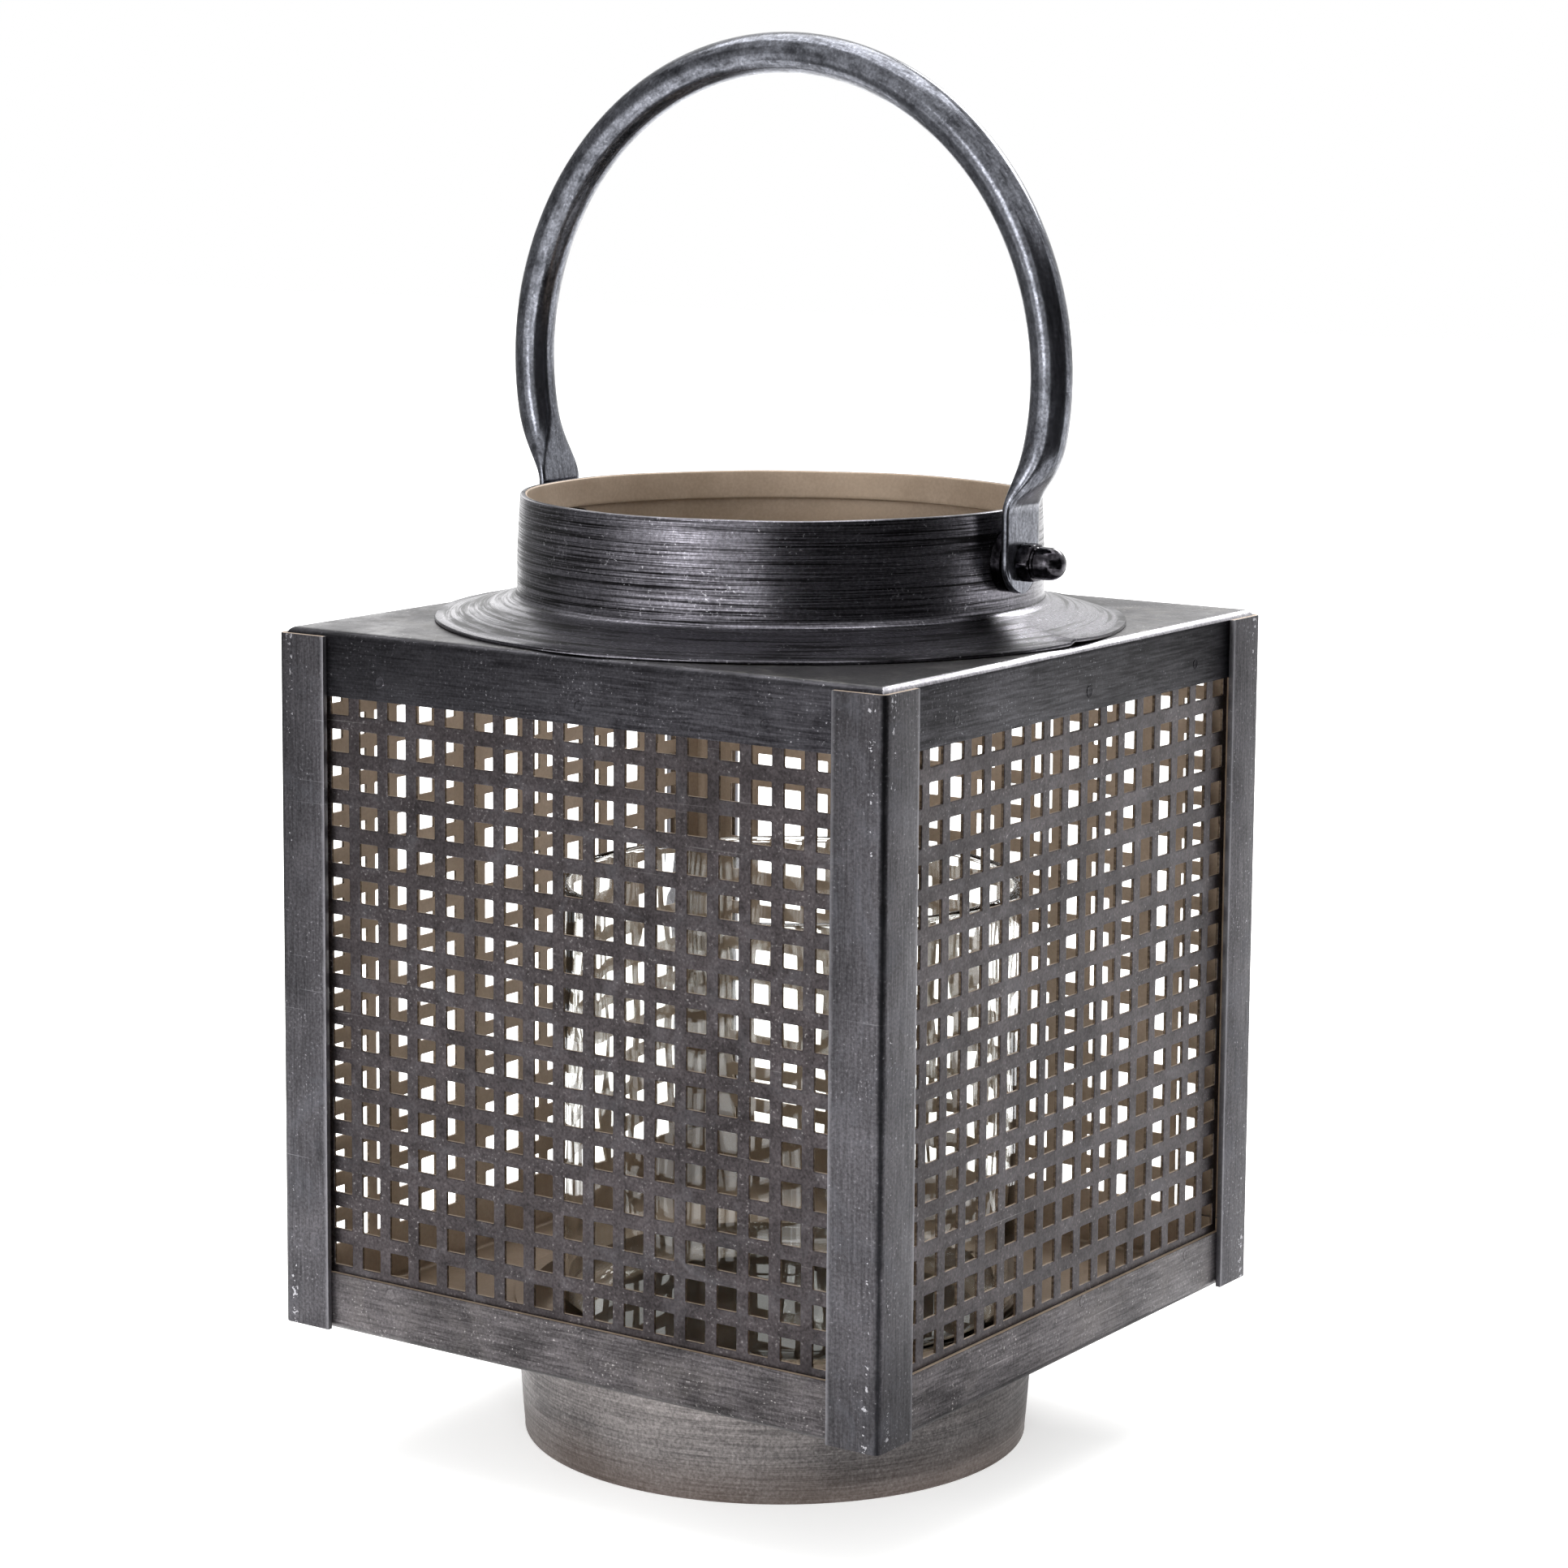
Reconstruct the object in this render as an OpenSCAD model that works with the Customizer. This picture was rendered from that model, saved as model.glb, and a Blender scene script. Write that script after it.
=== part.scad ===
// Candle lantern: a perforated sheet box between two pressed pans, with a spun neck,
// a spun foot, a swinging tube handle and a glass cylinder that stands in a dish.
// Z is up, the floor is z = 0 and the Z axis is the axis of the neck and the foot.

/* [Box] */
// Width of the square box, over the corner posts
body_w = 160; // [150:0.5:220]
// Height of the box, from its bottom edge to its top plate
body_h = 158.5; // [120:0.5:260]
// Height of the foot below the box
foot_h = 29.4; // [20:0.1:60]

/* [Corner posts] */
// Width of each leg of the angle
post_leg = 13; // [9:0.5:20]
// Sheet thickness of the posts
post_t = 1.3; // [0.8:0.1:2]
// Outer radius of the bend along a post
post_bend_r = 1.8; // [1:0.1:3]
// How far a post ends below the top plate
post_top_gap = 1.3; // [0.5:0.1:4]

/* [Pans] */
// Sheet thickness of the top and bottom pans
pan_t = 1.2; // [0.8:0.1:2]
// Depth of the top pan, over its skirt
top_skirt = 14.6; // [8:0.1:25]
// Depth of the bottom pan, over its skirt
bottom_skirt = 13.1; // [8:0.1:25]
// Outer radius of the bend between a plate and its skirt
pan_bend_r = 2; // [1.5:0.1:4]

/* [Perforated panels] */
// Sheet thickness of the panels
panel_t = 0.7; // [0.6:0.1:2]
// Side of a square hole
hole = 5.1; // [3:0.1:6.5]
// Distance from hole to hole across a panel
pitch_x = 8.06; // [7:0.02:14]
// Distance from hole to hole up a panel
pitch_z = 8.33; // [7:0.01:14]
// How far a panel's side edge runs behind the post
panel_lap = 1.7; // [1:0.1:5]
// How far the hole pattern sits above the middle of the box
grid_rise = 0.6; // [-2:0.1:2]

/* [Neck and foot rings] */
// Outer radius of a ring where its wall leaves the flange
ring_r = 59.4; // [57.5:0.1:62]
// Sheet thickness of the spun rings
ring_t = 0.8; // [0.6:0.1:1]
// Height of the neck above the top plate
neck_h = 28.1; // [24:0.1:50]
// Outer radius of the neck at its rim
neck_rim_r = 58.8; // [58.4:0.1:59.4]
// Outer radius of the foot where it meets the floor
foot_rim_r = 57.9; // [57.4:0.1:59.4]
// Height of the tapered part of the neck
neck_taper_h = 13; // [10:0.5:18]
// Depth of the folded hem inside each rim
hem_depth = 6.5; // [3:0.1:6.5]
// Rounding on the edges of a hem
hem_round = 0.4; // [0.2:0.1:0.6]
// Radius of the neck ring's flange
flange_r = 77.9; // [70:0.1:78]
// Radius of the foot ring's flange
foot_flange_r = 75.4; // [70:0.1:78]
// Width of the flat margin around the flange
flange_lip = 2; // [1:0.5:5]
// How far the flange rises to the wall
flange_rise = 4.6; // [2:0.1:6]
// Radius of the hollow between wall and flange
throat_r = 2.6; // [1:0.1:4]
// Radius of the opening in each plate
plate_opening_r = 58.4; // [57.9:0.1:62]

/* [Glass and dish] */
// Outer radius of the glass cylinder
glass_r = 53.5; // [40:0.1:54]
// Height of the glass cylinder
glass_h = 106.5; // [60:0.5:130]
// Wall of the glass cylinder
glass_wall = 2.6; // [1.6:0.1:5]
// Thickness of the glass base
glass_base = 6; // [3:0.5:12]
// Radius around the foot of the glass
glass_round = 8; // [6:0.5:12]
// How far the glass stands off the axis, across the lantern
glass_dx = 1.8; // [-1.8:0.1:1.8]
// How far the glass stands off the axis, towards the back
glass_dy = 2.4; // [-2.4:0.1:2.4]
// Inner radius of the dish under the glass
dish_r = 57; // [57:0.1:57.2]
// Depth of the dish below the bottom plate
dish_depth = 9.1; // [5:0.1:14]
// Sheet thickness of the dish
dish_t = 0.7; // [0.5:0.1:0.8]
// Inner radius around the floor of the dish
dish_round = 4; // [2:0.5:4.5]
// Width of the dish's lip on the bottom plate
dish_lip = 3.2; // [2.5:0.1:8]

/* [Handle] */
// Diameter of the handle's tube
tube_d = 9.2; // [7:0.1:10]
// Wall of the tube
tube_wall = 1; // [0.6:0.1:2]
// Radius of the bow, to the middle of the tube
bow_r = 70; // [67:0.5:74]
// Height of the bow's centre above the pivots
bow_rise = 39.3; // [34:0.1:60]
// How far below its centre the bow stays round, in degrees
bow_tail = 10; // [4:1:14]
// Depth of the pivots below the rim of the neck
pivot_drop = 11; // [11:0.1:14]
// Width of the flattened ends
flat_w = 13.8; // [12:0.1:15]
// Thickness of the flattened ends
flat_t = 2.1; // [1.6:0.1:3]
// Height of the flat above the pivot, up to its crease
flat_rise = 10.6; // [8.5:0.1:13]

/* [Fasteners] */
// Diameter of the pivot screws
screw_d = 5; // [4:0.5:6]
// Diameter of a screw head
head_d = 8.4; // [7.5:0.1:8.5]
// Height of a screw head
head_h = 1.9; // [1.2:0.1:2.4]
// Diameter of a spacer between the neck and a handle end
spacer_d = 13.6; // [9:0.1:15]
// Thickness of a spacer
spacer_t = 2.2; // [1:0.1:4]
// Size across the flats of a cap nut
nut_af = 8; // [7:0.5:10]
// Height of a cap nut's hexagon
nut_hex_h = 3.2; // [2.5:0.1:5]
// Height of a cap nut over its dome
nut_h = 10; // [9.2:0.1:14]
// Diameter of the dome
dome_d = 7.2; // [6.6:0.1:7.6]

/* [Clearances] */
// Gap between faces that turn against each other
running_gap = 0.1; // [0.05:0.05:0.3]
// Gap between parts that are clamped together over a curve
seat_gap = 0.05; // [0.02:0.01:0.2]
// Radial clearance of the handle on its screws
pivot_clearance = 0.05; // [0.02:0.01:0.1]
// Radial clearance of a nut on its screw
nut_clearance = 0.02; // [0.01:0.01:0.05]
// Clearance of a panel above and below, inside the pans
panel_end_gap = 2; // [1:0.1:6]

/* [Hidden] */
$fn = 96;

// How far a cutting body runs past the face it cuts
cut = 1;

// Heights
z_box = foot_h;
z_top = foot_h + body_h;
z_rim = z_top + neck_h;
z_pivot = z_rim - pivot_drop;
z_dish_floor = z_box + pan_t - dish_depth;

// The sheets lie one behind the other: posts, skirts, panels
box_half = body_w / 2;
pan_half = box_half - post_t;
panel_face = pan_half - pan_t;

// The panels and their holes
panel_w = body_w - 2 * post_leg + 2 * panel_lap;
panel_z0 = z_box + pan_t + panel_end_gap;
panel_h = z_top - pan_t - panel_end_gap - panel_z0;
columns = floor(panel_w / pitch_x);
rows = ceil((body_h - top_skirt - bottom_skirt) / pitch_z);
grid_z = z_box + body_h / 2 + grid_rise - (rows - 1) * pitch_z / 2;

// How much of the dome covers the end of a screw, and how much deeper a nut is drilled
dome_cover = 1;
bore_spare = 0.2;

// The pivots: spacer, handle end and nut, outwards from the neck
pivot_wall = neck_wall_r(neck_h - pivot_drop) - ring_t;
head_seat = sqrt(pow(pivot_wall, 2) - pow(head_d / 2, 2)) - seat_gap;
spacer_x = ring_r + seat_gap;
flat_x = spacer_x + spacer_t + running_gap;
nut_x = flat_x + flat_t + running_gap;
screw_tip = nut_x + nut_h - dome_d / 2 - dome_cover;
pivot_hole_r = screw_d / 2 + pivot_clearance;
screw_hole_r = screw_d / 2 + 2 * pivot_clearance;
nut_bore_r = screw_d / 2 + nut_clearance;

// The end of the handle, from the round tube down to the flat; the blend runs a little
// way inside the tube above it and inside the flat below it, and is flat before its end
loft_rings = 9;
loft_sides = 24;
loft_overlap = 1;
loft_skin = 0.1;
loft_margin = 0.04;
loft_flat_at = 0.9;
loft_squareness = 0.4;
loft_start = [bow_r * cos(bow_tail), bow_rise - bow_r * sin(bow_tail)];
loft_end = [flat_x + flat_t / 2, flat_rise];
loft_pull = norm(loft_start - loft_end) / 2;

// Outer radius of the neck's wall at a height above the top plate
function neck_wall_r(z) = wall_r(z, neck_h, neck_rim_r, neck_taper_h);

// Outer radius of a ring's wall: straight first, then a taper to the rim
function wall_r(z, h, rim_r, taper_h) =
    ring_r - (ring_r - rim_r) * max(0, z - (h - taper_h)) / taper_h;

// A point between two others
function between(a, b, t) = a + (b - a) * t;

// Smooth step from 0 to 1
function ease(t) = t * t * (3 - 2 * t);

// Power of a number that keeps its sign
function signed_pow(v, e) = sign(v) * pow(abs(v), e);

// Point and lean on the path of a handle end; t runs past 0 and 1 into its neighbours
function path_point(t) =
    t < 0 ? loft_start - t * loft_overlap * [sin(bow_tail), cos(bow_tail)] :
    t > 1 ? loft_end - (t - 1) * loft_overlap * [0, 1] :
    pow(1 - t, 3) * loft_start
    + 3 * pow(1 - t, 2) * t * (loft_start - loft_pull * [sin(bow_tail), cos(bow_tail)])
    + 3 * (1 - t) * pow(t, 2) * (loft_end + [0, loft_pull / 2])
    + pow(t, 3) * loft_end;
function path_lean(t) = t <= 0 ? bow_tail : t >= 1 ? 0 :
    let (d = path_point(t + 0.01) - path_point(t - 0.01)) atan2(-d[0], -d[1]);

// One ring of points around a handle end, from round to flat
function loft_ring(t) =
    let (
        middle = path_point(t),
        lean = path_lean(t),
        flatness = ease(max(0, min(1, t / loft_flat_at))),
        half_t = between(tube_d, flat_t, flatness) / 2 - loft_skin,
        half_w = between(tube_d, flat_w, flatness) / 2 - loft_skin,
        corner = between(1, loft_squareness, flatness)
    )
    [for (i = [0 : loft_sides - 1])
        let (
            a = 360 * i / loft_sides,
            across = half_t * signed_pow(cos(a), corner),
            along_y = half_w * signed_pow(sin(a), corner)
        )
        [middle[0] + across * cos(lean), along_y, middle[1] - across * sin(lean)]];

// Square with round corners, from its middle
module rounded_square(half, r) {
    square([2 * half, 2 * (half - r)], center = true);
    square([2 * (half - r), 2 * half], center = true);
    for (x = [-1, 1], y = [-1, 1])
        translate([x * (half - r), y * (half - r)]) circle(r);
}

// Half section of a cup with a round bottom edge, standing on the axis
module cup_section(r, h, bottom_r) {
    square([r - bottom_r, h]);
    translate([0, bottom_r]) square([r, h - bottom_r]);
    translate([r - bottom_r, bottom_r]) circle(bottom_r);
}

// Block with bends along its four top edges
module bent_block(half, h, r) {
    intersection_for (turn = [0, 90])
        rotate([90, 0, turn])
            linear_extrude(4 * half, center = true) {
                translate([-half, 0]) square([2 * half, h - r]);
                translate([r - half, 0]) square([2 * (half - r), h]);
                for (side = [-1, 1])
                    translate([side * (half - r), h - r]) circle(r);
            }
}

// Pan with its skirts down and the opening in its plate, open end at z = 0
module pan(h) {
    difference() {
        bent_block(pan_half, h, pan_bend_r);
        translate([0, 0, -h])
            bent_block(panel_face, 2 * h - pan_t, pan_bend_r - pan_t);
        cylinder(h = 2 * h, r = plate_opening_r);
    }
}

module top_pan() {
    color("#4a4a4d") translate([0, 0, z_top - top_skirt]) pan(top_skirt);
}

module bottom_pan() {
    color("#4a4a4d")
        translate([0, 0, z_box + bottom_skirt]) mirror([0, 0, 1]) pan(bottom_skirt);
}

// Region below the upper face of a ring's flange and inside its wall
module ring_outline(r, throat, z, h, rim_r, taper_h, edge_r, outer_r) {
    slope = atan(flange_rise / (edge_r - flange_lip - ring_r));
    corner_z = z + (edge_r - flange_lip - r) * tan(slope);
    reach = throat / tan((90 + slope) / 2);
    polygon([
        [0, -cut], [outer_r, -cut], [outer_r, z], [edge_r - flange_lip, z],
        [r, corner_z], [r, h - taper_h], [r - ring_r + rim_r, h], [0, h]
    ]);
    translate([r, corner_z])
        difference() {
            polygon([[0, 0], reach * [cos(slope), -sin(slope)], [throat, reach], [0, reach]]);
            translate([throat, reach]) circle(throat);
        }
}

// Spun ring: flange on z = 0, wall up to a folded hem at z = h
module spun_ring(h, rim_r, taper_h, edge_r) {
    hem_r = rim_r - 2 * ring_t;
    hem_z = h - hem_depth;
    rotate_extrude() {
        difference() {
            ring_outline(ring_r, throat_r, ring_t, h, rim_r, taper_h, edge_r, edge_r);
            ring_outline(
                ring_r - ring_t, throat_r + ring_t, 0, h, rim_r, taper_h, edge_r, edge_r + cut
            );
            translate([0, h - hem_round]) square([edge_r, 2 * hem_round]);
            translate([0, -2 * cut]) square([edge_r + cut, 2 * cut]);
        }
        polygon([
            [hem_r, hem_z], [wall_r(hem_z, h, rim_r, taper_h) - ring_t / 2, hem_z],
            [rim_r - ring_t / 2, h - hem_round], [hem_r, h - hem_round]
        ]);
        translate([hem_r + hem_round, h - 2 * hem_round])
            square([2 * (ring_t - hem_round), 2 * hem_round]);
        for (x = [hem_r + hem_round, rim_r - hem_round])
            translate([x, h - hem_round]) circle(hem_round);
    }
}

module neck_ring() {
    color("#454548")
        translate([0, 0, z_top])
            difference() {
                spun_ring(neck_h, neck_rim_r, neck_taper_h, flange_r);
                translate([-flange_r, 0, neck_h - pivot_drop])
                    rotate([0, 90, 0]) cylinder(h = 2 * flange_r, r = screw_hole_r);
            }
}

module foot_ring() {
    color("#57534f")
        translate([0, 0, z_box]) mirror([0, 0, 1])
            spun_ring(foot_h, foot_rim_r, foot_h - flange_rise - ring_t - throat_r, foot_flange_r);
}

// Corner post of angle sheet; x and y say which corner it stands on
module post(x, y) {
    color("#565457")
        translate([0, 0, z_box])
            linear_extrude(body_h - post_top_gap)
                intersection() {
                    difference() {
                        rounded_square(box_half, post_bend_r);
                        square(2 * pan_half, center = true);
                    }
                    translate([x * box_half, y * box_half])
                        square(2 * post_leg, center = true);
                }
}

module post_front_left() post(-1, -1);
module post_front_right() post(1, -1);
module post_back_left() post(-1, 1);
module post_back_right() post(1, 1);

// Perforated panel on the side of the box that lies a turn from the front
module panel(turn) {
    color("#5b585b")
        rotate(turn)
            translate([0, panel_t - panel_face, panel_z0])
                rotate([90, 0, 0])
                    linear_extrude(panel_t)
                        difference() {
                            translate([-panel_w / 2, 0]) square([panel_w, panel_h]);
                            for (i = [0 : columns - 1], j = [0 : rows - 1])
                                translate([
                                    (i - (columns - 1) / 2) * pitch_x,
                                    grid_z - panel_z0 + j * pitch_z
                                ])
                                    square(hole, center = true);
                        }
}

module panel_front() panel(0);
module panel_right() panel(90);
module panel_back() panel(180);
module panel_left() panel(270);

// Shallow dish that hangs in the bottom plate by its lip
module glass_dish() {
    color("#8a7d6c")
        translate([0, 0, z_dish_floor - dish_t])
            rotate_extrude() {
                difference() {
                    cup_section(dish_r + dish_t, dish_depth + dish_t, dish_round + dish_t);
                    translate([0, dish_t]) cup_section(dish_r, 2 * dish_depth, dish_round);
                }
                translate([dish_r, dish_depth + dish_t]) square([dish_lip, dish_t]);
            }
}

module glass_cylinder() {
    color("#cfe0dc", 0.5)
        translate([glass_dx, glass_dy, z_dish_floor])
            rotate_extrude() {
                difference() {
                    cup_section(glass_r, glass_h - glass_wall / 2, glass_round);
                    translate([0, glass_base])
                        cup_section(glass_r - glass_wall, glass_h, glass_round - glass_wall);
                }
                translate([glass_r - glass_wall / 2, glass_h - glass_wall / 2])
                    circle(glass_wall / 2);
            }
}

// Pressed end of the tube: the blend from round to flat, and the flat itself
module handle_end() {
    steps = [
        -1,
        each [for (k = [0 : loft_rings]) between(loft_margin, 1 - loft_margin, k / loft_rings)],
        2
    ];
    last = len(steps) - 1;
    polyhedron(
        [for (t = steps) each loft_ring(t)],
        concat(
            [[for (i = [loft_sides - 1 : -1 : 0]) i]],
            [for (k = [0 : last - 1], i = [0 : loft_sides - 1])
                let (
                    next = (i + 1) % loft_sides,
                    a = k * loft_sides,
                    b = a + loft_sides
                )
                each [[a + i, b + next, b + i], [a + i, a + next, b + next]]],
            [[for (i = [0 : loft_sides - 1]) last * loft_sides + i]]
        ),
        convexity = 4
    );
    translate([flat_x, 0, 0])
        rotate([90, 0, 90])
            linear_extrude(flat_t) {
                circle(flat_w / 2);
                translate([-flat_w / 2, 0]) square([flat_w, flat_rise]);
            }
}

// Bow of tube with both ends pressed flat and drilled for the screws
module handle() {
    color("#2d2e32")
        translate([0, 0, z_pivot])
            difference() {
                union() {
                    translate([0, 0, bow_rise])
                        rotate([90, 0, 0]) rotate(-bow_tail)
                            rotate_extrude(angle = 180 + 2 * bow_tail)
                                translate([bow_r, 0])
                                    difference() {
                                        circle(tube_d / 2);
                                        circle(tube_d / 2 - tube_wall);
                                    }
                    handle_end();
                    mirror([1, 0, 0]) handle_end();
                }
                rotate([0, 90, 0])
                    cylinder(h = 2 * (nut_x + nut_h), r = pivot_hole_r, center = true);
            }
}

// Places one side's fasteners on the pivot axis, with x outwards
module at_pivot(side) {
    translate([0, 0, z_pivot])
        mirror([side < 0 ? 1 : 0, 0, 0])
            rotate([0, 90, 0])
                children();
}

// Screw from inside the neck, with a flat head
module pivot_screw(side) {
    color("#2b2b2e")
        at_pivot(side) {
            translate([0, 0, head_seat - head_h]) cylinder(h = head_h, d = head_d);
            translate([0, 0, head_seat - head_h])
                cylinder(h = screw_tip - head_seat + head_h, d = screw_d);
        }
}

module pivot_screw_left() pivot_screw(-1);
module pivot_screw_right() pivot_screw(1);

// Round spacer that keeps the handle off the neck
module spacer(side) {
    color("#333336")
        at_pivot(side)
            translate([0, 0, spacer_x])
                difference() {
                    cylinder(h = spacer_t, d = spacer_d);
                    translate([0, 0, -cut])
                        cylinder(h = spacer_t + 2 * cut, r = screw_hole_r);
                }
}

module spacer_left() spacer(-1);
module spacer_right() spacer(1);

// Domed nut: hexagon with its outer corners turned off, and the dome
module cap_nut(side) {
    corner_d = nut_af / cos(30);
    color("#26262a")
        at_pivot(side)
            translate([0, 0, nut_x])
                difference() {
                    union() {
                        intersection() {
                            rotate(30) cylinder(h = nut_hex_h, d = corner_d, $fn = 6);
                            cylinder(
                                h = nut_hex_h,
                                d1 = nut_af + 4 * nut_hex_h,
                                d2 = nut_af
                            );
                        }
                        cylinder(h = nut_h - dome_d / 2, d = dome_d);
                        translate([0, 0, nut_h - dome_d / 2]) sphere(d = dome_d);
                    }
                    translate([0, 0, -cut])
                        cylinder(h = screw_tip - nut_x + bore_spare + cut, r = nut_bore_r);
                }
}

module cap_nut_left() cap_nut(-1);
module cap_nut_right() cap_nut(1);

top_pan();
bottom_pan();
neck_ring();
foot_ring();
post_front_left();
post_front_right();
post_back_left();
post_back_right();
panel_front();
panel_right();
panel_back();
panel_left();
glass_dish();
glass_cylinder();
handle();
pivot_screw_left();
pivot_screw_right();
spacer_left();
spacer_right();
cap_nut_left();
cap_nut_right();
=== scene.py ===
import math

import bmesh
import bpy
from mathutils import Matrix, Vector


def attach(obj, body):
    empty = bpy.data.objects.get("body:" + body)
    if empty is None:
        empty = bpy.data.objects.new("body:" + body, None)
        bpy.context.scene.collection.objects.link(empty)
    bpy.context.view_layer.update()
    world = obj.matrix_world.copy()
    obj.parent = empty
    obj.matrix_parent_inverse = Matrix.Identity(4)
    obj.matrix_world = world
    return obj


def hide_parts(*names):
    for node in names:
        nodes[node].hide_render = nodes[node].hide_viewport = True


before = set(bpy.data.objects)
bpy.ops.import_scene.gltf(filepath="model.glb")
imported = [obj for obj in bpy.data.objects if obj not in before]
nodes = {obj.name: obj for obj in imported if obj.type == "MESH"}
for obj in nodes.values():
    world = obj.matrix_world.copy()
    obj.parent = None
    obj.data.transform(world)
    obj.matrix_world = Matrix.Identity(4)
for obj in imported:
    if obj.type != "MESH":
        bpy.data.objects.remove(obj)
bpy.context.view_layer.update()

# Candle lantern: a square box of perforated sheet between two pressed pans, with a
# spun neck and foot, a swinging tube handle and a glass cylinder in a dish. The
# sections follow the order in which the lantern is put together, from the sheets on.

collection = bpy.context.scene.collection

# ---------------------------------------------------------------- perforated panels
# Four sheets of 0.7 mm steel with punched square holes, blackened and rubbed back on the
# outside and sprayed with champagne paint from the inside. Each stands behind the posts
# and the skirts of the pans, to which it is spot welded.

MM = 0.001
PANEL_OUT = -77.5 * MM          # outer face of the front panel
PANEL_THICK = 0.7 * MM
PANEL_HALF = 68.7 * MM
PANEL_LOW, PANEL_HIGH = 32.6 * MM, 184.7 * MM
HOLE = 5.1 * MM
HOLE_CORNER = 0.20 * MM         # corner radius of the punch, cut as one chamfer
ACROSS, UP = 8.06 * MM, 8.33 * MM
COLUMNS, ROWS = 17, 16
FIRST_ROW = 46.775 * MM


def linear(colour):
    """sRGB hex value as linear numbers, with an alpha of 1."""
    parts = [int(colour[i:i + 2], 16) / 255 for i in (1, 3, 5)]
    return tuple(p / 12.92 if p <= 0.04045 else ((p + 0.055) / 1.055) ** 2.4
                 for p in parts) + (1.0,)


def feed(tree, node, links):
    """Gives inputs of a node a value, the output that feeds them or a node, whose first
    output feeds them."""
    for key, value in links.items():
        if isinstance(value, bpy.types.Node):
            value = value.outputs[0]
        if isinstance(value, bpy.types.NodeSocket):
            tree.links.new(value, node.inputs[key])
        else:
            node.inputs[key].default_value = value


def add_node(tree, kind, links, **settings):
    """A node with its settings and what feeds it; the kind of a shader node goes without
    ShaderNode in front."""
    node = tree.nodes.new(kind if "Node" in kind else "ShaderNode" + kind)
    for key, value in settings.items():
        setattr(node, key, value)
    feed(tree, node, links)
    return node


def new_material(name, metallic=0.0):
    """A material, its node tree and its Principled shader."""
    material = bpy.data.materials.new(name)
    material.use_nodes = True
    shader = material.node_tree.nodes["Principled BSDF"]
    shader.inputs["Metallic"].default_value = metallic
    return material, material.node_tree, shader


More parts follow.
